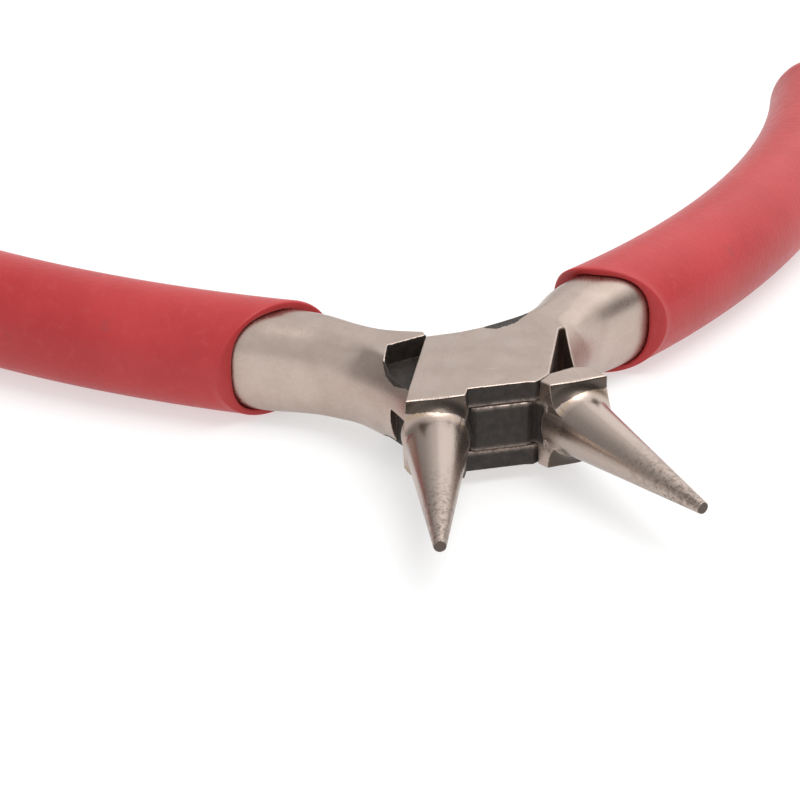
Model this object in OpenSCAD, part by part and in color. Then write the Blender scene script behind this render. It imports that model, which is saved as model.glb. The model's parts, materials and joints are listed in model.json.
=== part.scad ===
// Box joint round nose pliers, shown with the jaws open.
// The rivet axis is Z, the jaws point along -Y and the handles along +Y.
// The origin is on the rivet axis, at the lower cheek's outer face.
// Each lever is drawn closed, with its jaw at -X and its handle at +X, and then turned open.

/* [Joint] */
// Thickness across both cheeks
joint_t = 9.5; // [8.5:0.1:11]
// Thickness of the inner lever's tongue
tongue_t = 4.9; // [4:0.1:5.5]
// Gap between the tongue and each cheek
side_gap = 0.05; // [0.03:0.01:0.1]
// Half of the width across a cheek
cheek_half = 6.85; // [6.6:0.05:7]
// Radius of the round middle of the tongue
tongue_r = 6.3; // [6:0.05:6.4]
// Radius of the rivet
rivet_r = 2.4; // [1.8:0.1:3]
// Angle between the levers when they are open
open_angle = 48.5; // [30:0.5:48.5]

/* [Jaws] */
// Length of each cone, from its root to its flat tip
jaw_len = 20.3; // [15:0.5:28]
// Radius of each cone at its root
jaw_root_r = 3.3; // [2.8:0.05:3.4]
// Radius of each cone at its tip
jaw_tip_r = 0.62; // [0.4:0.02:1]

/* [Handles] */
// Angle at which each handle leaves the joint
handle_lead = 36; // [32:0.5:40]
// Radius of the handle's long bend
bend_r = 125; // [110:1:160]
// Angle that the long bend turns through
bend_angle = 35.2; // [28:0.2:38]
// Width of the steel tang inside the grip
tang_w = 7.9; // [6.5:0.1:8.2]

/* [Grips] */
// Outside diameter of each grip
grip_d = 12.7; // [12:0.1:14]
// Distance from the rivet axis to the grips' front rims, measured closed
rim_y = 21; // [20:0.5:24]

/* [Hidden] */
$fn = 96;

full_open = 48.5;               // the widest opening, where each nose meets the other lever's side
half_t = joint_t / 2;
slot_t = tongue_t + 2 * side_gap;
run_gap = 0.05;                 // radial clearance of the tongue on the rivet
press = 0.02;                   // overlap of a pressed or dipped fit
slot_r = tongue_r + 0.3;        // round walls that the tongue turns between
root_front = [-3.67, -10.3];    // centre of a cone's root
touch_x = -jaw_tip_r - 0.03;    // the closed tips just clear each other
jaw_lean = asin((touch_x - root_front[0]) / jaw_len);
neck_start = [10.1, 21.5];      // where a handle's long bend begins
bend_c = neck_start + bend_r * [-cos(handle_lead), sin(handle_lead)];
tang_end = bend_angle - 1.7;    // the tang stops short of the grip's closed end
nose_x = 9;                     // the neck's outer side ends in a thin nose
nose_len = 3.5;                 // length along X of the nose's flank
corner_r = 7.05;                // the cheeks' front corner is rounded about the rivet
notch_x = cheek_half - 0.1;     // the cheeks' side beside the other lever's jaw
block_x = -0.85;                // the slot stops just short of the jaw's block
grip_lead = 4;                  // the sleeve is swept from this far before the handle's bend
stop_gap = 0.12;                // left between a nose and the other lever when fully open
waist_c = [33.6, 7.2];          // centre of the neck's hollow outer side
waist_r = 24;
neck_bulge_r = 5.9;             // rounding of the neck's outer side, from top to bottom
end_step = 0.1;                 // the round end is a hair slimmer than the sleeve
steel = [0.72, 0.68, 0.65];
pvc = [0.88, 0.3, 0.3];

function polar(r, a) = [r * cos(a), r * sin(a)];
function bezier(a, b, c, n) = [for (i = [0 : n]) let (t = i / n)
    (1 - t) * (1 - t) * a + 2 * t * (1 - t) * b + t * t * c];
// A nose ends along the line where the other lever's side lies when fully open
function stop_y(x) = (cheek_half + stop_gap - x * cos(full_open)) / sin(full_open);
function on_bend(r, a) = bend_c + polar(r, a - handle_lead);

module opened(side) {
    translate([0, 0, half_t]) rotate([0, 0, -side * open_angle / 2])
        if (side > 0) children();
        else mirror([1, 0, 0]) children();
}

// Everything between two heights that are symmetric about the joint's middle
module slab(t) {
    translate([0, 0, -t / 2]) linear_extrude(t) children();
}

// A cone whose line meets the other jaw's along the middle when closed
module jaw() {
    buried = 2;
    grow = (jaw_root_r - jaw_tip_r) / jaw_len * buried;
    translate([root_front[0], root_front[1], 0])
        rotate([90, 0, jaw_lean])
            translate([0, 0, -buried])
                cylinder(h = jaw_len + buried, r1 = jaw_root_r + grow, r2 = jaw_tip_r);
}

// The handle's bend, swept from one angle to another
module bend(from, to) {
    translate([bend_c[0], bend_c[1], 0]) rotate([0, 0, from - handle_lead])
        rotate_extrude(angle = to - from) translate([bend_r, 0]) children();
}

module tang_section(shrink) {
    intersection() {
        square([tang_w - 2 * shrink, joint_t - 2 * shrink], center = true);
        circle(d = joint_t * 1.14 - 2 * shrink);
    }
}

// Seen from above: the crotch side is a curve, the outer side is trimmed to the waist
module neck_outline(crotch_x, joint_side) {
    polygon(concat(
        bezier([crotch_x, 9.3], [6.2, 15], [6.2, 21], 10),
        [on_bend(bend_r - tang_w / 2, 0.2), on_bend(bend_r + tang_w / 2, 0.2)],
        [[14, 17], [nose_x + nose_len, stop_y(nose_x + nose_len)], [nose_x, stop_y(nose_x)]],
        joint_side));
}

// The waist hollows the neck from outside and leaves its wall rounded
module waist() {
    translate([waist_c[0], waist_c[1], 0]) rotate_extrude() difference() {
        translate([0, -joint_t]) square([waist_r + 4, 2 * joint_t]);
        translate([waist_r + neck_bulge_r, 0]) circle(r = neck_bulge_r);
    }
}

// The neck and the tang behind it, hollowed by the waist as far as the grip's rim
module neck(crotch_x, joint_side) {
    difference() {
        union() {
            slab(joint_t) neck_outline(crotch_x, joint_side);
            bend(0, tang_end) tang_section(0);
        }
        intersection() {
            waist();
            translate([7, rim_y - 26, -joint_t]) cube([20, 25.9, 2 * joint_t]);
        }
    }
}

module cheek_outline() {
    polygon([[-cheek_half, -10.8], [-0.9, -8.6], [-1, -7.1], [4.7, -4.65],
        polar(corner_r, -39), polar(corner_r, -33), polar(corner_r, -27), polar(corner_r, -21),
        [notch_x, -1.2], [notch_x, 8.4], [7.25, 9], [5, 13], [0.6, 9.3],
        [-1.3, 7.6], [-3.5, 6], [-cheek_half, 4.5]]);
}

// The room that the tongue needs between the cheeks, from open to closed
module slot_outline() {
    circle(r = slot_r);
    polygon([[0, 0], polar(20, 92), [-20, 20], [-20, 0], polar(20, 228.5)]);
    polygon([[0, 0], [block_x, -6.5], [block_x, -12], [7, -12], [7, 3.5], [4.9, 4.4]]);
}

module root_outline() {
    polygon([[-0.9, -8.7], [-0.6, -8.2], [-1.7, -7.2], [-2.85, -6.7], [-5.5, -7.05],
        [-cheek_half, -8], [-cheek_half, -10.8]]);
}

// The tongue joins the root of the jaw to the neck through the other lever's slot
module tongue_outline() {
    circle(r = tongue_r);
    polygon([[0, 0], [-0.6, -6.2], [-0.8, -8.35], [-2, -8.8], [-6, -10], [-6.5, -8.2], [-6.2, -1]]);
    polygon([[0, 0], [0.6, 6.2], [1.5, 8.6], [3, 10.5], [8, 10], [9.5, 5], [9.3, 0.6], [6.2, 1]]);
}

// A narrow wedge-shaped notch parts the neck from the cheeks' side
module outer_lever() {
    color(steel) opened(1) {
        difference() {
            union() {
                slab(joint_t) cheek_outline();
                neck(0.6, [[7.25, 9], [3.5, 9]]);
            }
            slab(slot_t) slot_outline();
            cylinder(h = 2 * joint_t, r = rivet_r, center = true);
        }
        jaw();
    }
}

// The cheeks' corners turn in a wide recess between the horn and the nose of the neck
module inner_lever() {
    color(steel) opened(-1) {
        difference() {
            union() {
                slab(tongue_t) tongue_outline();
                neck(0.6, [[8.3, 7], [5.6, 9], [0.9, 8.35]]);
            }
            cylinder(h = 2 * joint_t, r = rivet_r + run_gap, center = true);
        }
        slab(joint_t) root_outline();
        jaw();
    }
}

module rivet() {
    color(steel) cylinder(h = joint_t, r = rivet_r + press);
}

// A dipped sleeve with an oblique mouth and a closed, round end
module grip() {
    difference() {
        union() {
            bend(-grip_lead, bend_angle) circle(d = grip_d);
            translate(concat(on_bend(bend_r, bend_angle), [0])) sphere(d = grip_d - end_step);
        }
        bend(-grip_lead - 0.5, tang_end) tang_section(press);
        translate([-20, rim_y - 40, -20]) cube([60, 40, 40]);
    }
}

module outer_grip() {
    color(pvc) opened(1) grip();
}

module inner_grip() {
    color(pvc) opened(-1) grip();
}

outer_lever();
inner_lever();
rivet();
outer_grip();
inner_grip();
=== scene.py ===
"""Round nose pliers, open on a pale studio floor.

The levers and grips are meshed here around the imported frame. Shapes are worked out in millimetres in the
closed position, with a lever's jaw at -X and its handle at +X, and are then turned open.
"""
import json
import math
import bpy
import numpy as np
from mathutils import Matrix, Vector


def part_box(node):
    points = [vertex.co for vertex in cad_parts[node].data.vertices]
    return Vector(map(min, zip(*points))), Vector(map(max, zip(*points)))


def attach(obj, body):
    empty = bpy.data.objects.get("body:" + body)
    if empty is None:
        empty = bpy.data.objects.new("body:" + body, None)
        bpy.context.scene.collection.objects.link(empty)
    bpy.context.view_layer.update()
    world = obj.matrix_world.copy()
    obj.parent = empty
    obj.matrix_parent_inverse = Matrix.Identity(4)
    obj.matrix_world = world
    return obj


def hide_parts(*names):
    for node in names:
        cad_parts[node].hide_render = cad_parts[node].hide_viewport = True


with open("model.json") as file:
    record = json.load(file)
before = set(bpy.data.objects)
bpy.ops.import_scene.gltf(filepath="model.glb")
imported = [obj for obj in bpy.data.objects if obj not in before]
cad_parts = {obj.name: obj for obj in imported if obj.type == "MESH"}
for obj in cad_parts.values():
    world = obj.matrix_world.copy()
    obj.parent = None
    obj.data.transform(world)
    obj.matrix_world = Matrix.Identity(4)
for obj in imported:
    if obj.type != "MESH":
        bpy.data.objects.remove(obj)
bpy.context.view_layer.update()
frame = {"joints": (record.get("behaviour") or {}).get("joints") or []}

MM = 0.001

# ---------------------------------------------------------------- sizes from the frame, in millimetres
rivet_low, rivet_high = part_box("rivet")
grip_low, grip_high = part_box("outer_grip")
HALF_T = (rivet_high.z - rivet_low.z) / MM / 2
MID_Z = (rivet_high.z + rivet_low.z) / MM / 2
RIVET_R = (rivet_high.x - rivet_low.x) / MM / 2
GRIP_R = (grip_high.z - grip_low.z) / MM / 2
OPEN_ANGLE = frame["joints"][0]["range_deg"][1]

# ---------------------------------------------------------------- sizes shared with the design
TONGUE_HALF = 2.45            # half of the tongue's thickness
SLOT_HALF = 2.5               # half of the slot's height
CHEEK_HALF = 6.85             # half of the width across a cheek
JAW_ROOT = (-3.67, -10.3)     # centre of a cone's root
JAW_LEN = 20.3
JAW_ROOT_R = 3.3
JAW_TIP_R = 0.62
TIP_GAP = 0.03                # from a closed tip to the middle line
JAW_LEAN = math.asin((-JAW_TIP_R - TIP_GAP - JAW_ROOT[0]) / JAW_LEN)
CONE_DIR = (math.sin(JAW_LEAN), -math.cos(JAW_LEAN))
STOP_GAP = 0.12               # left between a nose and the other lever when fully open
LEAD = math.radians(36)       # the handle's angle where its long bend begins
BEND_R = 125.0
BEND_C = (10.1 - BEND_R * math.cos(LEAD), 21.5 + BEND_R * math.sin(LEAD))
BEND_END = math.radians(35.2)
TANG_END = math.radians(33.5)
TANG_HALF_W = 3.95
TANG_CORNER = 1.14            # the tang's corners lie on a circle this much larger than its half thickness
RIM_Y = 21.0                  # distance from the rivet axis to the grips' rims
WAIST_C = (33.6, 7.2)         # centre of the neck's hollow outer side
WAIST_R = 24.0

# ---------------------------------------------------------------- sizes of the finer detail
NET_STEP = 0.12               # cell size of the levers' meshes
NET_LOW = (-7.6, -31.2, -5.75)
NET_HIGH = (19.4, 26.5, 5.75)
CUT_Y = 26.0                  # a lever's meshed front ends here, inside its grip
TONGUE_R = 6.75               # round middle of the tongue
SLOT_R = 6.85                 # round walls that the tongue turns between
TONGUE_FLAT = 6.2             # from the axis to the tongue's flat front
CORNER_R = 7.13               # the cheeks' front corner is rounded about the rivet
ROOT_BACK_R = 7.2             # the inner jaw block's back clears that corner
EDGE = 0.16                   # rounding of the steel's edges
FRONT_EDGE = 0.25             # and of the jaw blocks' front edges
SLOT_EDGE = 0.2
NECK_EDGE = 0.7
NECK_CROWN = 1.3              # the neck's sides are this much fuller at mid height
WALL_R = 5.9                  # rounding of the neck's outer wall at the joint
WALL_R_GAIN = 2.3             # and how much larger it is at the grip
SHOULDER = 0.22               # edge of that wall at the joint
SHOULDER_GAIN = 0.8
BELLY_R = 3.4                 # rounding of the jaw blocks' lower outer edge
SWEEP = 1.9                   # width of the fillet between a cone and its block
COLLAR_AT = 0.15              # place of the straw-coloured line along the cone
RIM_SLOPE = 0.6               # how the handle's middle moves across, for each step along, at the grip's rim
RIM_CENTRE_X = 10.2
RIM_HALF_W = 5.25
RIM_HALF_T = 5.4
RIM_POWER = 2.7               # 2 would be an ellipse, and more is squarer
SLIVER_GAP = (8.9, 3.5, 0.8)  # the nose's lower part is missing beyond X, short of Y and below Z


# ================================================================ distances to shapes
def ramp(value, start, end):
    """0 before start, 1 after end, and smooth between."""
    t = np.clip((value - start) / (end - start), 0, 1)
    return t * t * (3 - 2 * t)


def blend_union(a, b, width):
    """The union of two shapes with a fillet where they meet."""
    h = np.clip(0.5 + 0.5 * (b - a) / width, 0, 1)
    return b + (a - b) * h - width * h * (1 - h)


def round_cut(a, b, radius):
    """The common part of two shapes with its edge rounded."""
    corner = np.hypot(np.maximum(a + radius, 0), np.maximum(b + radius, 0))
    return np.minimum(np.maximum(a, b), -radius) + corner


def polygon_distance(x, y, points):
    """Signed distance to an outline in the XY plane, negative inside."""
    nearest = np.full(np.broadcast(x, y).shape, np.inf)
    inside = np.zeros(nearest.shape, bool)
    for (ax, ay), (bx, by) in zip(points, points[1:] + points[:1]):
        ex, ey = bx - ax, by - ay
        wx, wy = x - ax, y - ay
        t = np.clip((wx * ex + wy * ey) / (ex * ex + ey * ey), 0, 1)
        nearest = np.minimum(nearest, (wx - ex * t) ** 2 + (wy - ey * t) ** 2)
        if ay != by:
            inside ^= ((ay > y) != (by > y)) & (wx < ex * wy / ey)
    return np.where(inside, -1, 1) * np.sqrt(nearest)


def polar(radius, degrees):
    """A point at a radius about the rivet, at an angle from +X."""
    return (radius * math.cos(math.radians(degrees)), radius * math.sin(math.radians(degrees)))


def on_bend(radius, angle):
    """A point at a radius about the bend's centre, at an angle along the bend."""
    return (BEND_C[0] + radius * math.cos(angle - LEAD), BEND_C[1] + radius * math.sin(angle - LEAD))


def bezier(a, b, c, n):
    """Points on the curve from a to c that b pulls at."""
    points = []
    for t in [i / n for i in range(n + 1)]:
        points.append(tuple((1 - t) ** 2 * a[k] + 2 * t * (1 - t) * b[k] + t * t * c[k] for k in (0, 1)))
    return points


def stop_y(x):
    """Where the other lever's side lies when the levers are fully open."""
    angle = math.radians(OPEN_ANGLE)
    return (CHEEK_HALF + STOP_GAP - x * math.cos(angle)) / math.sin(angle)


def neck_plan(crotch, joint_side):
    """The neck seen from above, from the crotch round the tang to the thin nose."""
    inner = [on_bend(BEND_R - TANG_HALF_W, math.radians(a)) for a in (0.2, 3, 6)]
    outer = [on_bend(BEND_R + TANG_HALF_W, math.radians(a)) for a in (6, 3, 0.2)]
    nose = [(14, 17), (12.5, stop_y(12.5)), (9, stop_y(9))]
    return bezier(crotch, (6.2, 15), (6.2, 21), 12) + inner + outer + nose + joint_side


def rim_section(x, y, z):
    """The full, rounded section that the handle has where it enters its grip."""
    across = abs(x - RIM_CENTRE_X - RIM_SLOPE * (y - RIM_Y)) / RIM_HALF_W
    up = abs(z) / RIM_HALF_T
    return ((across ** RIM_POWER + up ** RIM_POWER) ** (1 / RIM_POWER) - 1) * RIM_HALF_W * 0.85


def neck(x, y, z, plan):
    """The neck, hollow and rounded on its outer side, swelling to the full section at the grip's rim."""
    fullness = NECK_CROWN * (1 - (z / HALF_T) ** 2) * ramp(y, 9, 12.5)
    edge = EDGE + (NECK_EDGE - EDGE) * ramp(y, 9, 13)
    block = round_cut(polygon_distance(x, y, plan) - fullness, abs(z) - HALF_T, edge)
    bulge = WALL_R + WALL_R_GAIN * ramp(y, 10, 14)
    to_axis = np.hypot(x - WAIST_C[0], y - WAIST_C[1])
    wall = np.hypot(np.maximum(WAIST_R + bulge - to_axis, 0), z) - bulge
    shoulder = SHOULDER + SHOULDER_GAIN * ramp(y, 8.5, 12.5)
    swell = ramp(y, 9.5, 21.5)
    waisted = round_cut(block, wall, shoulder)
    return np.maximum(waisted + (rim_section(x, y, z) - waisted) * swell, y - CUT_Y)


def along_cone(x, y):
    """Distance along the cone's axis, from its root."""
    return (x - JAW_ROOT[0]) * CONE_DIR[0] + (y - JAW_ROOT[1]) * CONE_DIR[1]


def jaw(x, y, z):
    """The cone, with a flat tip and a short stub behind its root."""
    along = along_cone(x, y)
    across = np.hypot((x - JAW_ROOT[0]) * CONE_DIR[1] - (y - JAW_ROOT[1]) * CONE_DIR[0], z)
    slope = (JAW_ROOT_R - JAW_TIP_R) / JAW_LEN
    side = (across - JAW_ROOT_R + slope * along) * math.cos(math.atan(slope))
    return np.maximum(round_cut(side, along - JAW_LEN, 0.07), -2 - along)


CHEEK_FRONT = [(-CHEEK_HALF, -10.8), (-1.05, -8.45), (-1, -7), (4.7, -4.65)]
CHEEK_CORNER = [polar(7.12, -39), polar(CORNER_R, -33), polar(CORNER_R, -27), polar(CORNER_R, -21)]
CHEEK_SIDE = [(6.75, -2.2), (6.75, 8.4), (7.25, 9)]
CHEEK_BACK = [(5, 13), (0.6, 9.3), (-1.3, 7.6), (-3.5, 6.1), (-CHEEK_HALF, 4.5)]
CHEEK_PLAN = CHEEK_FRONT + CHEEK_CORNER + CHEEK_SIDE + CHEEK_BACK
OUTER_NECK = neck_plan((0.6, 9.3), [(7.25, 9), (3.5, 6), (1, 8)])
INNER_NECK = neck_plan((0.6, 9.2), [(8.3, 5.4), (7.6, 7), (5.6, 9), (0.9, 8.35)])
SLOT_SIDE = [(0, 0), polar(20, 92), (-20, 20), (-20, 0), polar(20, 228.5)]
SLOT_FRONT = [(0, 0), (-0.9, -6.5), (-0.9, -12), (7, -12), (7, 3.5), (4.9, 4.4)]
ROOT_BACK = [polar(ROOT_BACK_R, angle) for angle in (-99, -104, -112.5)]
ROOT_SIDE = [(-5.5, -7.05), (-CHEEK_HALF, -8), (-CHEEK_HALF, -10.8)]
ROOT_PLAN = [(-0.9, -8.7), (-0.8, -7.3)] + ROOT_BACK + ROOT_SIDE
FLAT_DIR = polar(1, -63.9)
TONGUE_TO_JAW = [(0, 0), (-0.6, -6.2), (-0.8, -8.35), (-2, -8.8), (-6, -10), (-6.5, -8.2), (-6.2, -1)]
TONGUE_TO_NECK = [(0, 0), (0.6, 6.2), (1.5, 8.6), (3, 10.5), (8, 10), (8.7, 5), (8.85, 1.5), (6.2, 1)]
RECESS_PLAN = [(-1, 0), (9.05, 0), (9, 4), (8.6, 5.7), (7.8, 7.2), (5.8, 9.35), (1.2, 8.75), (-1, 7.5)]
SCAR_PLAN = [(-1.2, 7.4), (0.6, 9.8), (2.4, 12.6), (3.2, 11.6), (2.0, 9.0), (0.3, 7.3)]


def slot_plan(x, y):
    """The room that the tongue needs between the cheeks."""
    sides = np.minimum(polygon_distance(x, y, SLOT_SIDE), polygon_distance(x, y, SLOT_FRONT))
    return np.minimum(sides, np.hypot(x, y) - SLOT_R)


def belly(x, y, z):
    """The rounding of a jaw block's lower outer edge, which fades out towards the joint."""
    side = -CHEEK_HALF - x - 4 * ramp(y, -9.5, -5.5)
    return np.hypot(np.maximum(side + BELLY_R, 0), np.maximum(-z - HALF_T + BELLY_R, 0)) - BELLY_R


def front_edge(y):
    """The blocks' edges are rounder in front, where the cones were turned."""
    return EDGE + (FRONT_EDGE - EDGE) * ramp(-y, 8.2, 9.4)


def with_jaw(block, x, y, z):
    """A cone that sweeps into its block, without swelling past the block's sides."""
    cone = jaw(x, y, z)
    sides = np.maximum(-CHEEK_HALF - x, x - ROOT_PLAN[0][0])
    prism = np.maximum(sides, abs(z) - HALF_T + 0.05)
    return np.minimum(np.minimum(block, cone), np.maximum(blend_union(block, cone, SWEEP), prism))


def outer_lever(x, y, z):
    """The lever with the box: two cheeks round a slot, the neck and the cone."""
    cheeks = round_cut(polygon_distance(x, y, CHEEK_PLAN), abs(z) - HALF_T, front_edge(y))
    cheeks = np.maximum(cheeks, belly(x, y, z))
    body = np.minimum(cheeks, neck(x, y, z, OUTER_NECK))
    slot = np.maximum(slot_plan(x, y), abs(z) - SLOT_HALF)
    return with_jaw(round_cut(body, -slot, SLOT_EDGE), x, y, z)


def inner_lever(x, y, z):
    """The lever with the tongue, which links the jaw's block to the neck through the other lever's slot."""
    links = np.minimum(polygon_distance(x, y, TONGUE_TO_JAW), polygon_distance(x, y, TONGUE_TO_NECK))
    ground = np.maximum(np.hypot(x, y) - TONGUE_R, FLAT_DIR[0] * x + FLAT_DIR[1] * y - TONGUE_FLAT)
    tongue = round_cut(np.minimum(links, ground), abs(z) - TONGUE_HALF, SLOT_EDGE)
    tongue = np.maximum(tongue, RIVET_R + 0.2 - np.hypot(x, y))
    root = round_cut(polygon_distance(x, y, ROOT_PLAN), abs(z) - HALF_T, front_edge(y))
    root = np.maximum(root, belly(x, y, z))
    gap = np.maximum(np.maximum(SLIVER_GAP[0] - x, y - SLIVER_GAP[1]), z - SLIVER_GAP[2])
    handle = round_cut(neck(x, y, z, INNER_NECK), -gap, 0.1)
    body = np.minimum(with_jaw(root, x, y, z), handle)
    return np.minimum(body, tongue)


# ================================================================ meshing
def surface_net(distance, low, high, step):
    """Vertices and quads on a shape's surface, one vertex in each grid cell that it crosses."""
    axes = [np.arange(a, b + step, step) for a, b in zip(low, high)]
    x, y, z = np.meshgrid(*axes, indexing="ij", sparse=True)
    values = np.broadcast_to(distance(x, y, z), [len(a) for a in axes])
    inside = values < 0
    corners = [(i, j, k) for i in (0, 1) for j in (0, 1) for k in (0, 1)]
    size = [len(a) - 1 for a in axes]
    count = sum(inside[i:i + size[0], j:j + size[1], k:k + size[2]].astype(np.uint8) for i, j, k in corners)
    cells = np.argwhere((count > 0) & (count < 8))
    number = np.full(size, -1, np.int64)
    number[tuple(cells.T)] = np.arange(len(cells))
    total = np.zeros((len(cells), 3))
    hits = np.zeros(len(cells))
    for axis in range(3):
        for start in [c for c in corners if c[axis] == 0]:
            end = list(start)
            end[axis] = 1
            v0 = values[tuple((cells + start).T)]
            v1 = values[tuple((cells + end).T)]
            crossed = (v0 < 0) != (v1 < 0)
            place = np.tile(np.array(start, float), (len(cells), 1))
            place[:, axis] = v0 / np.where(crossed, v0 - v1, 1)
            total += place * crossed[:, None]
            hits += crossed
    vertices = np.array(low) + step * (cells + total / hits[:, None])
    quads = []
    for axis in range(3):
        b, c = (axis + 1) % 3, (axis + 2) % 3
        here = np.moveaxis(inside, axis, 0)
        edges = np.moveaxis(here[:-1] != here[1:], 0, axis)
        nodes = np.argwhere(edges)
        ring = []
        for db, dc in ((1, 1), (0, 1), (0, 0), (1, 0)):
            cell = nodes.copy()
            cell[:, b] -= db
            cell[:, c] -= dc
            ring.append(number[tuple(cell.T)])
        quad = np.stack(ring, 1)
        inward = ~inside[tuple(nodes.T)]
        quad[inward] = quad[inward][:, ::-1]
        quads.append(quad)
    return vertices, np.concatenate(quads)


def gradient(distance, points, reach=0.03):
    """The slope of a shape's distance at each point."""
    parts = []
    for axis in range(3):
        shift = np.zeros(3)
        shift[axis] = reach
        parts.append(distance(*(points + shift).T) - distance(*(points - shift).T))
    return np.stack(parts, 1) / (2 * reach)


def settle(distance, points, rounds=3):
    """Moves the vertices onto the surface and returns them with the surface's normals."""
    for _ in range(rounds):
        slope = gradient(distance, points)
        length = np.maximum((slope ** 2).sum(1), 0.25)
        step = np.clip(distance(*points.T) / length, -0.4 * NET_STEP, 0.4 * NET_STEP)
        points = points - slope * step[:, None]
    slope = gradient(distance, points)
    return points, slope / np.maximum(np.linalg.norm(slope, axis=1), 1e-6)[:, None]


def loft(rings):
    """Vertices and quads through rings of equal length, with both ends closed by a point."""
    count = len(rings[0])
    middle = [np.mean(rings[0], axis=0), np.mean(rings[-1], axis=0)]
    vertices = np.concatenate(list(rings) + [np.array(middle)])
    faces = []
    for r in range(len(rings) - 1):
        for i in range(count):
            j = (i + 1) % count
            faces.append((r * count + i, r * count + j, (r + 1) * count + j, (r + 1) * count + i))
    first, last = len(vertices) - 2, len(vertices) - 1
    base = (len(rings) - 1) * count
    faces += [((i + 1) % count, i, first) for i in range(count)]
    faces += [(base + i, base + (i + 1) % count, last) for i in range(count)]
    return vertices, faces


def opened(points, side):
    """From the closed millimetre position to the open one in metres; side -1 is the mirrored lever."""
    turn = math.radians(-side * OPEN_ANGLE / 2)
    x, y = points[:, 0] * side, points[:, 1]
    turned = [x * math.cos(turn) - y * math.sin(turn), x * math.sin(turn) + y * math.cos(turn)]
    return np.stack(turned + [points[:, 2] + MID_Z], 1) * MM


def make_piece(name, points, faces, side, body, node, material, normals=None, marks=(), smooth=True):
    """A piece from closed-position geometry, with per-vertex marks for its material to read."""
    mesh = bpy.data.meshes.new(name)
    faces = [tuple(int(i) for i in f) for f in faces]
    if side < 0:
        faces = [f[::-1] for f in faces]
    mesh.from_pydata(opened(points, side).tolist(), [], faces)
    mesh.polygons.foreach_set("use_smooth", [smooth] * len(mesh.polygons))
    place = mesh.attributes.new("place", "FLOAT_VECTOR", "POINT")
    place.data.foreach_set("vector", points.astype(np.float32).ravel())
    for mark, values in marks:
        layer = mesh.attributes.new(mark, "FLOAT", "POINT")
        layer.data.foreach_set("value", values.astype(np.float32))
    mesh.update()
    if normals is not None:
        turned = opened(normals, side) / MM - np.array([0, 0, MID_Z])
        mesh.normals_split_custom_set_from_vertices(turned.tolist())
    piece = bpy.data.objects.new(name, mesh)
    bpy.context.scene.collection.objects.link(piece)
    mesh.materials.append(material)
    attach(piece, body)
    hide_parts(node)
    return piece


# ================================================================ materials
class Nodes:
    """A material's node tree, built in short steps."""

    def __init__(self, name, **constants):
        self.material = bpy.data.materials.new(name)
        self.material.use_nodes = True
        self.tree = self.material.node_tree
        self.shader = self.tree.nodes["Principled BSDF"]
        for socket, value in constants.items():
            self.shader.inputs[socket.replace("_", " ")].default_value = value

    def add(self, kind, settings=None, **inputs):
        """A node with its settings and inputs; an input called i0, i1 and so on goes by its number."""
        node = self.tree.nodes.new("ShaderNode" + kind)
        for key, value in (settings or {}).items():
            setattr(node, key, value)
        for key, value in inputs.items():
            numbered = key[0] == "i" and key[1:].isdigit()
            self.put(value, node.inputs[int(key[1:]) if numbered else key])
        return node

    def put(self, value, socket):
        """Links or sets one input."""
        if isinstance(value, bpy.types.NodeSocket):
            self.tree.links.new(value, socket)
        else:
            socket.default_value = value

    def out(self, value, socket):
        self.put(value, self.shader.inputs[socket])

    def attribute(self, name, vector=False):
        node = self.add("Attribute", {"attribute_name": name})
        return node.outputs["Vector" if vector else "Fac"]

    def math(self, operation, a, b=0.0):
        return self.add("Math", {"operation": operation}, i0=a, i1=b).outputs[0]

    def scaled(self, vector, scale):
        return self.add("VectorMath", {"operation": "MULTIPLY"}, i0=vector, i1=scale).outputs[0]

    def noise(self, vector, scale, detail=3.0, rough=0.55):
        node = self.add("TexNoise", None, Vector=vector, Scale=scale, Detail=detail, Roughness=rough)
        return node.outputs["Fac"]

    def spread(self, value, low, high, to_low=0.0, to_high=1.0):
        """Maps low..high to to_low..to_high, held at both ends."""
        node = self.add("MapRange", {"clamp": True}, i0=value, i1=low, i2=high, i3=to_low, i4=to_high)
        return node.outputs[0]

    def mix(self, amount, a, b):
        node = self.add("Mix", {"data_type": "RGBA"})
        self.put(amount, node.inputs[0])
        self.put(a, node.inputs[6])
        self.put(b, node.inputs[7])
        return node.outputs[2]

    def bump(self, height, depth, normal=None):
        node = self.add("Bump", None, Height=height, Strength=1.0, Distance=depth)
        if normal is not None:
            self.put(normal, node.inputs["Normal"])
        return node.outputs["Normal"]


STEEL_DARK = (0.46, 0.368, 0.318, 1)
STEEL_PALE = (0.52, 0.425, 0.372, 1)
CONE_STEEL = (0.46, 0.378, 0.330, 1)
STRAW = (0.50, 0.33, 0.14, 1)
PIT = (0.11, 0.085, 0.07, 1)
# Dark steel: the tip faces' own dull colour, and painted dark reflection on the jaw blocks' front walls
DULL_TIP_AND_WALL_SHADE = (0.115, 0.092, 0.078, 1)
SCALE_DARK = (0.016, 0.011, 0.008, 1)
SCALE_PALE = (0.042, 0.031, 0.025, 1)


def ground_steel(n, place):
    """The faintly clouded colour of the ground faces, and their grain along the tool."""
    steel = n.mix(n.spread(n.noise(place, 0.28), 0.35, 0.65), STEEL_DARK, STEEL_PALE)
    grain = n.noise(n.scaled(place, (9.0, 0.35, 9.0)), 1.0, 2.0)
    return steel, grain


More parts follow.
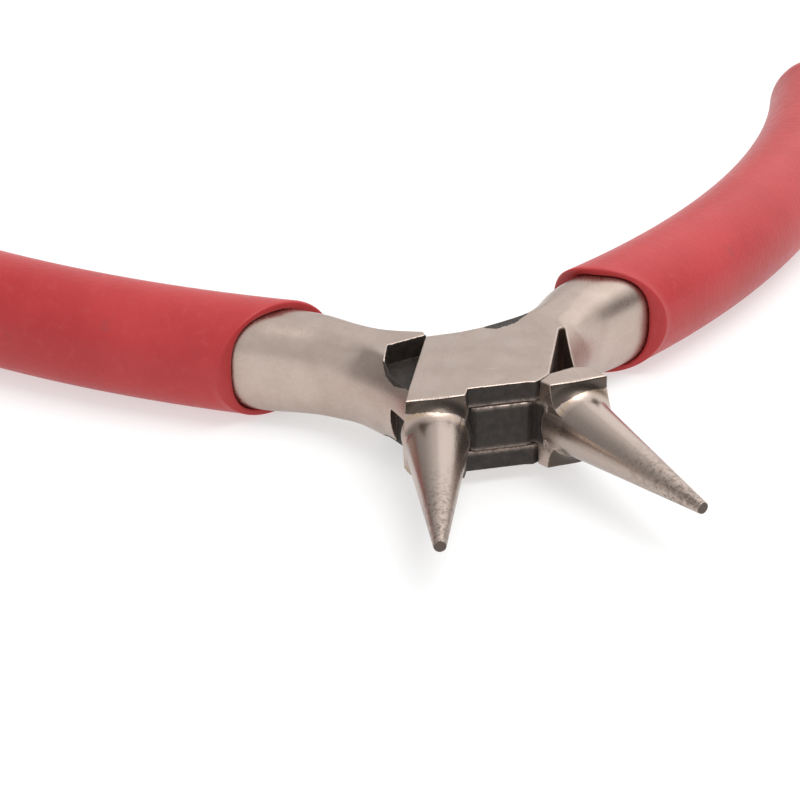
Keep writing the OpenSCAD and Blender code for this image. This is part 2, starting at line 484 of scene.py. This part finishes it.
def lever_steel():
    """Ground tool steel, turned on the cones and left black where the grinder never reached."""
    n = Nodes("lever_steel")
    place = n.attribute("place", vector=True)
    raw = n.math("ADD", n.attribute("raw"), n.spread(n.noise(place, 2.2, 4.0), 0.3, 0.7, -0.22, 0.22))
    raw = n.spread(raw, 0.4, 0.6)
    # Bare steel through the black along the slot's seams: partly edge wear, partly painted glints on the
    # seams' rounded edges
    patchy = n.spread(n.noise(place, 1.4, 4.0, 0.7), 0.38, 0.55, 0.35, 1.0)
    seam_glint_wear = n.math("MULTIPLY", n.attribute("seam_glint_wear"), patchy)
    raw = n.math("SUBTRACT", raw, n.math("MULTIPLY", seam_glint_wear, 0.95))
    cone = n.attribute("cone")
    tip = n.attribute("tip")
    steel, grain = ground_steel(n, place)
    steel = n.mix(cone, steel, CONE_STEEL)
    straw = n.math("MULTIPLY", n.attribute("straw"), n.spread(n.noise(place, 1.1), 0.35, 0.6, 0.0, 0.5))
    steel = n.mix(straw, steel, STRAW)
    pits = n.noise(place, 2.4, 5.0, 0.72)
    pitted = n.math("MULTIPLY", n.spread(pits, 0.47, 0.66), n.spread(tip, 0.1, 1.0, 0.06, 0.95))
    steel = n.mix(pitted, steel, PIT)
    # Painted dark reflection on the blocks' front walls, and the tip faces' own dull colour
    steel = n.mix(n.attribute("dull_tip_and_wall_shade"), steel, DULL_TIP_AND_WALL_SHADE)
    black = n.mix(n.spread(n.noise(place, 1.3, 4.0), 0.3, 0.7), SCALE_DARK, SCALE_PALE)
    n.out(n.mix(raw, steel, black), "Base Color")
    n.out(n.spread(raw, 0.0, 1.0, 1.0, 0.15), "Metallic")
    rings = n.noise(n.scaled(place, (0.6, 5.0, 0.6)), 1.0, 3.0)
    streaks = n.math("ADD", n.math("MULTIPLY", grain, n.spread(cone, 0.0, 1.0, 1.0, 0.0)),
                     n.math("MULTIPLY", rings, n.math("MULTIPLY", cone, 0.5)))
    polish = n.math("ADD", n.spread(streaks, 0.3, 0.7, 0.30, 0.42), n.spread(tip, 0.0, 1.0, -0.04, 0.10))
    n.out(n.math("ADD", polish, n.spread(raw, 0.0, 1.0, 0.0, 0.22)), "Roughness")
    rough_height = n.math("MULTIPLY", n.noise(place, 3.5, 6.0, 0.7), raw)
    pit_height = n.math("MULTIPLY", pits, n.spread(tip, 0.0, 1.0, 0.04, 0.5))
    height = n.math("ADD", n.math("ADD", rough_height, pit_height), n.math("MULTIPLY", streaks, 0.05))
    n.out(n.bump(height, 0.00009), "Normal")
    return n.material


def rivet_steel():
    """The rivet's steel, ground together with the cheeks."""
    n = Nodes("rivet_steel", Metallic=1.0)
    steel, grain = ground_steel(n, n.attribute("place", vector=True))
    n.out(steel, "Base Color")
    n.out(n.spread(grain, 0.3, 0.7, 0.30, 0.42), "Roughness")
    n.out(n.bump(grain, 0.00001), "Normal")
    return n.material


PVC_DEEP = (0.415, 0.030, 0.033, 1)
PVC_LIGHT = (0.475, 0.040, 0.043, 1)
PVC_HAZE = (0.49, 0.075, 0.075, 1)
PVC_SCUFF = (0.22, 0.05, 0.054, 1)
PVC_SPECK = (0.08, 0.03, 0.03, 1)


def grip_pvc():
    """Coral red dipped vinyl: satin, faintly clouded, with a few specks and a scuff."""
    n = Nodes("grip_pvc", Specular_IOR_Level=0.3)
    place = n.attribute("place", vector=True)
    cloud = n.noise(place, 0.09, 3.0)
    red = n.mix(n.spread(cloud, 0.35, 0.65), PVC_DEEP, PVC_LIGHT)
    mottle = n.noise(place, 0.8, 4.0)
    red = n.mix(n.spread(mottle, 0.55, 0.8, 0.0, 0.35), red, PVC_HAZE)
    scuff = n.math("MULTIPLY", n.spread(n.noise(place, 0.22, 2.0), 0.66, 0.74), n.spread(mottle, 0.4, 0.6))
    red = n.mix(n.math("MULTIPLY", scuff, 0.55), red, PVC_SCUFF)
    cells = n.add("TexVoronoi", {"feature": "F1"}, Vector=place, Scale=0.13)
    speck = n.spread(cells.outputs["Distance"], 0.02, 0.035, 1.0, 0.0)
    red = n.mix(n.math("MULTIPLY", speck, 0.8), red, PVC_SPECK)
    n.out(red, "Base Color")
    n.out(n.spread(mottle, 0.3, 0.7, 0.34, 0.44), "Roughness")
    orange_peel = n.noise(place, 1.6, 2.0)
    fine = n.noise(place, 9.0, 2.0)
    n.out(n.bump(n.math("ADD", orange_peel, n.math("MULTIPLY", fine, 0.25)), 0.00004), "Normal")
    return n.material


def floor_material():
    """White paper that glows a little, so that shadows on it stay faint."""
    n = Nodes("studio_floor", Roughness=0.9, Specular_IOR_Level=0.1)
    place = n.add("TexCoord").outputs["Object"]
    white = n.mix(n.noise(place, 3.0), (0.45, 0.45, 0.45, 1), (0.47, 0.47, 0.47, 1))
    n.out(white, "Base Color")
    n.shader.inputs["Emission Color"].default_value = (1, 1, 1, 1)
    n.shader.inputs["Emission Strength"].default_value = 0.55
    return n.material


# ================================================================ the levers
def lever_marks(points, normals, raw):
    """Where a lever is a cone, near a tip, straw-coloured at the collar, or left black, and where shade and
    glints are painted on it.
    """
    x, y, z = points.T
    along = along_cone(x, y)
    facing = normals[:, 0] * CONE_DIR[0] + normals[:, 1] * CONE_DIR[1]
    tip_face = (along > JAW_LEN - 0.06) & (abs(facing) > 0.8)
    # The blocks' front walls under the cheeks' edges get painted dark reflection
    shaded_front_wall = (normals[:, 1] < -0.45) & (y < -8.3) & (along < 0.05) & (abs(z) < HALF_T - 0.1)
    # Along the slot's seams the black gives way to bare steel, partly as edge wear and partly as painted
    # glints
    seam = np.exp(-((abs(z) - SLOT_HALF) / 0.3) ** 2)
    seam_glint_wear = seam * (y < -4) * (x > -1.3)
    return (("raw", raw),
            ("cone", ramp(along, 0.6, 1.2)),
            ("tip", ramp(along, 4, JAW_LEN)),
            ("straw", np.exp(-((along - COLLAR_AT) / 0.14) ** 2)),
            ("dull_tip_and_wall_shade", np.clip(shaded_front_wall + tip_face, 0, 1).astype(float)),
            ("seam_glint_wear", seam_glint_wear))


def on_flat_faces(points, normals):
    """1 on the ground upper and lower faces, fading to 0 on the walls."""
    return ramp(abs(normals[:, 2]), 0.55, 0.8) * (abs(points[:, 2]) > HALF_T - 0.5)


def outer_raw(points, normals):
    """The block's front between the jaws, the slot and the crotch stay as forged."""
    x, y, z = points.T
    block = (x > -1.25) & (x < 6.4) & (y < -3.3) & (y > -8.45) & (normals[:, 1] < 0.4)
    slot = (abs(z) < SLOT_HALF + 0.08) & (slot_plan(x, y) < 0.15) & (y > -9.5)
    crotch = ramp(y, 7.4, 8.4) * (1 - ramp(y, 12.2, 13.6)) * (x < 4.6) * (normals[:, 0] < 0.2)
    scar = (polygon_distance(x, y, SCAR_PLAN) < 0) & (abs(z) > 3)
    return np.maximum(np.clip(block + slot + crotch, 0, 1) * (1 - on_flat_faces(points, normals)), scar)


def inner_raw(points, normals):
    """The tongue and the walls of the recess beside it stay as forged."""
    x, y, z = points.T
    tongue = (abs(z) < TONGUE_HALF + 0.05) & (np.hypot(x, y) < 8.1)
    recess = (polygon_distance(x, y, RECESS_PLAN) < 0) & (y > 1.5)
    root_back = (y > -8.6) & (y < -6) & (x < 0) & (normals[:, 1] > 0.3)
    crotch = ramp(-y, -10.4, -9.6) * (x < 2.4) * (normals[:, 0] < 0.2) * (y > 7)
    return np.clip(tongue + recess + root_back + crotch, 0, 1) * (1 - on_flat_faces(points, normals))


TANG_POINTS = 48
TANG_RINGS = 24
TANG_START = math.radians(3.2)


def tang_ring(angle, grow=0.0, count=TANG_POINTS):
    """The tang's section at an angle along the bend."""
    turn = np.linspace(0, 2 * math.pi, count, endpoint=False)
    flat_w = TANG_HALF_W / np.maximum(abs(np.cos(turn)), 1e-6)
    flat_t = HALF_T / np.maximum(abs(np.sin(turn)), 1e-6)
    reach = np.minimum(np.minimum(flat_w, flat_t), HALF_T * TANG_CORNER) + grow
    radius = BEND_R + reach * np.cos(turn)
    plan = [BEND_C[0] + radius * math.cos(angle - LEAD), BEND_C[1] + radius * math.sin(angle - LEAD)]
    return np.stack(plan + [reach * np.sin(turn)], 1)


def make_lever(name, distance, raw, side, body, node, material):
    """A lever's shaped front and the tang that the grip hides, in one piece."""
    vertices, quads = surface_net(distance, NET_LOW, NET_HIGH, NET_STEP)
    vertices, normals = settle(distance, vertices)
    marks = lever_marks(vertices, normals, raw(vertices, normals).astype(float))
    angles = np.linspace(TANG_START, TANG_END, TANG_RINGS)
    tang, tang_faces = loft([tang_ring(a, -0.05) for a in angles])
    middle = np.repeat([on_bend(BEND_R, a) + (0,) for a in angles], TANG_POINTS, axis=0)
    outward = np.concatenate([tang[:-2] - middle, [[0.6, -0.8, 0], [-0.6, 0.8, 0]]])
    outward /= np.linalg.norm(outward, axis=1)[:, None]
    faces = quads.tolist() + [tuple(i + len(vertices) for i in f) for f in tang_faces]
    marks = [(key, np.concatenate([values, np.zeros(len(tang))])) for key, values in marks]
    make_piece(name, np.concatenate([vertices, tang]), faces, side, body, node, material,
               np.concatenate([normals, outward]), marks)


# ================================================================ the grips
RING = 96                     # points round the sleeve
SLEEVE_RINGS = 90
LIP = 0.45                    # depth of the lip's rounding
LIP_ROUND = 0.6               # 1 would be an ellipse, and less is squarer
LIP_GAP = 0.04                # between the lip and the steel
BORE_GAP = 0.03               # and between the bore and the tang
OUTER_RIM = RIM_Y - 0.2
INNER_RIM = RIM_Y + 0.8
OUTER_SETBACK = 3.6           # how much further back the outer grip's mouth lies on its inner side
TURN = np.linspace(0, 2 * math.pi, RING, endpoint=False)


def mouth_ring(y, gap):
    """The handle's full section at y, which is one value or one for each point, enlarged by a gap."""
    c, s = np.cos(TURN), np.sin(TURN)
    shape = (abs(c) ** RIM_POWER + abs(s) ** RIM_POWER) ** (-1 / RIM_POWER)
    x = RIM_CENTRE_X + RIM_SLOPE * (y - RIM_Y) + (RIM_HALF_W + gap) * c * shape
    return np.stack([x, np.full(RING, y), (RIM_HALF_T + gap) * s * shape], 1)


def mouth_line(rim, setback):
    """How far along the handle the mouth lies, set back towards the inner side."""
    return rim + setback * np.maximum(-np.cos(TURN), 0) ** 2


def sleeve_ring(share, start_y):
    """The sleeve's outside, a share of the way from its oblique mouth to the start of its round end."""
    radius = BEND_R + GRIP_R * np.cos(TURN)
    start = LEAD + np.arcsin((start_y - BEND_C[1]) / radius)
    angle = start + (BEND_END - start) * share
    plan = [BEND_C[0] + radius * np.cos(angle - LEAD), BEND_C[1] + radius * np.sin(angle - LEAD)]
    return np.stack(plan + [GRIP_R * np.sin(TURN)], 1)


def grip_rings(rim, setback):
    """From deep in the bore, out round the lip and along the sleeve to its closed end."""
    rings = [tang_ring(a, BORE_GAP, RING) for a in np.linspace(TANG_END, math.radians(4), 16)]
    line = mouth_line(rim, setback)
    rings += [mouth_ring(CUT_Y + 0.2, LIP_GAP / 2), mouth_ring(line + LIP * 2, LIP_GAP / 2)]
    outside = sleeve_ring(0.0, line + LIP)
    inside = mouth_ring(line + LIP, LIP_GAP)
    for t in np.linspace(1, 0, 15):
        c, s = math.cos(math.pi * t), math.sin(math.pi * t)
        ring = outside + (inside - outside) * (1 - math.copysign(abs(c) ** LIP_ROUND, c)) / 2
        ring[:, 1] = line + LIP * (1 - abs(s) ** LIP_ROUND)
        rings.append(ring)
    rings += [sleeve_ring(share, line + LIP) for share in np.linspace(0, 1, SLEEVE_RINGS)[1:]]
    centre = np.array(on_bend(BEND_R, BEND_END) + (0,))
    forward = np.array([-math.sin(BEND_END - LEAD), math.cos(BEND_END - LEAD), 0])
    for lift in np.radians(np.arange(8, 89, 8)):
        flat = centre + (sleeve_ring(1.0, rim) - centre) * math.cos(lift)
        rings.append(flat + forward * GRIP_R * 0.99 * math.sin(lift))
    return rings


def make_grip(name, side, body, node, rim, setback, material):
    """A dipped sleeve with a bore for the tang."""
    vertices, faces = loft(grip_rings(rim, setback))
    make_piece(name, vertices, faces, side, body, node, material)


# ================================================================ the rivet
def make_rivet(material):
    """A pin ground flush with both cheeks, with a hair of chamfer."""
    proud, chamfer, count = 0.006, 0.03, 96
    turn = np.linspace(0, 2 * math.pi, count, endpoint=False)
    end = HALF_T + proud
    profile = [(RIVET_R * 0.5, -end), (RIVET_R - chamfer, -end), (RIVET_R, -end + chamfer),
               (RIVET_R, end - chamfer), (RIVET_R - chamfer, end), (RIVET_R * 0.5, end)]
    rings = [np.stack([r * np.cos(turn), r * np.sin(turn), np.full(count, z)], 1) for r, z in profile]
    vertices, faces = loft(rings)
    make_piece("rivet_pin", vertices, faces, 1, "outer_half", "rivet", material, smooth=False)


# ================================================================ the studio
WORLD_BRIGHT = 0.93
WORLD_DARK = 0.22
DARK_SIDE = (0.76, -0.64, 0.1)
DIM_SIDE = (-0.72, 0.60, 0.35)
DIM_TO = 0.4
LOW_TINT = (0.78, 0.77, 0.76, 1)
FLOOR_REACH = 3.0


def make_floor(material):
    """A square floor at the height that the grips rest on."""
    mesh = bpy.data.meshes.new("floor")
    square = [(-1, -1), (1, -1), (1, 1), (-1, 1)]
    mesh.from_pydata([(x * FLOOR_REACH, y * FLOOR_REACH, grip_low.z) for x, y in square], [], [(0, 1, 2, 3)])
    mesh.materials.append(material)
    floor = bpy.data.objects.new("floor", mesh)
    bpy.context.scene.collection.objects.link(floor)


def soft_light(name, place, size, watts):
    """A square lamp that faces the rivet."""
    light = bpy.data.lights.new(name, "AREA")
    light.size = size
    light.energy = watts
    lamp = bpy.data.objects.new(name, light)
    lamp.location = place
    lamp.rotation_euler = (-Vector(place)).to_track_quat("-Z", "Y").to_euler()
    bpy.context.scene.collection.objects.link(lamp)


def towards(tree, direction, side, start, end, away_value, side_value):
    """A value that changes smoothly with how nearly a direction points to one side."""
    product = tree.nodes.new("ShaderNodeVectorMath")
    product.operation = "DOT_PRODUCT"
    product.inputs[1].default_value = side
    tree.links.new(direction, product.inputs[0])
    shade = tree.nodes.new("ShaderNodeMapRange")
    shade.inputs["From Min"].default_value = start
    shade.inputs["From Max"].default_value = end
    shade.inputs["To Min"].default_value = away_value
    shade.inputs["To Max"].default_value = side_value
    tree.links.new(product.outputs["Value"], shade.inputs["Value"])
    return shade.outputs["Result"]


def make_world():
    """A bright white room with a dark side in front on the right and a dim one behind on the left."""
    world = bpy.data.worlds.new("studio")
    bpy.context.scene.world = world
    world.use_nodes = True
    tree = world.node_tree
    background = tree.nodes["Background"]
    direction = tree.nodes.new("ShaderNodeTexCoord").outputs["Generated"]
    split = tree.nodes.new("ShaderNodeSeparateXYZ")
    tree.links.new(direction, split.inputs[0])
    height = tree.nodes.new("ShaderNodeValToRGB")
    height.color_ramp.elements[0].position = 0.0
    height.color_ramp.elements[0].color = LOW_TINT
    height.color_ramp.elements[1].position = 0.5
    height.color_ramp.elements[1].color = (1.0, 1.0, 1.0, 1)
    tree.links.new(split.outputs["Z"], height.inputs[0])
    tree.links.new(height.outputs["Color"], background.inputs["Color"])
    strength = tree.nodes.new("ShaderNodeMath")
    strength.operation = "MULTIPLY"
    shade = towards(tree, direction, DARK_SIDE, 0.45, 0.95, WORLD_BRIGHT, WORLD_DARK)
    dim = towards(tree, direction, DIM_SIDE, 0.65, 0.95, 1.0, DIM_TO)
    tree.links.new(shade, strength.inputs[0])
    tree.links.new(dim, strength.inputs[1])
    tree.links.new(strength.outputs[0], background.inputs["Strength"])


def make_camera():
    """A long lens, looking down at the joint from in front and a little to the left."""
    place = Vector((-0.070974, -0.219218, 0.121451))
    aim = Vector((-0.008461, 0.002405, 0.004785))
    roll = math.radians(-0.11)
    camera_data = bpy.data.cameras.new("camera")
    camera_data.sensor_width = 36.0
    camera_data.lens = 112.5
    camera = bpy.data.objects.new("camera", camera_data)
    look = (aim - place).to_track_quat("-Z", "Y").to_matrix().to_4x4()
    camera.matrix_world = Matrix.Translation(place) @ look @ Matrix.Rotation(roll, 4, "Z")
    bpy.context.scene.collection.objects.link(camera)
    bpy.context.scene.camera = camera


make_camera()
make_world()
soft_light("overhead", (0.16, -0.12, 0.62), 0.45, 2.4)
soft_light("side", (0.52, 0.25, 0.34), 0.9, 1.3)
make_floor(floor_material())
steel, pvc = lever_steel(), grip_pvc()
make_lever("outer_lever_forging", outer_lever, outer_raw, 1, "outer_half", "outer_lever", steel)
make_lever("inner_lever_forging", inner_lever, inner_raw, -1, "inner_half", "inner_lever", steel)
make_rivet(rivet_steel())
make_grip("outer_grip_sleeve", 1, "outer_half", "outer_grip", OUTER_RIM, OUTER_SETBACK, pvc)
make_grip("inner_grip_sleeve", -1, "inner_half", "inner_grip", INNER_RIM, 0.0, pvc)
bpy.context.scene.view_settings.view_transform = "Standard"
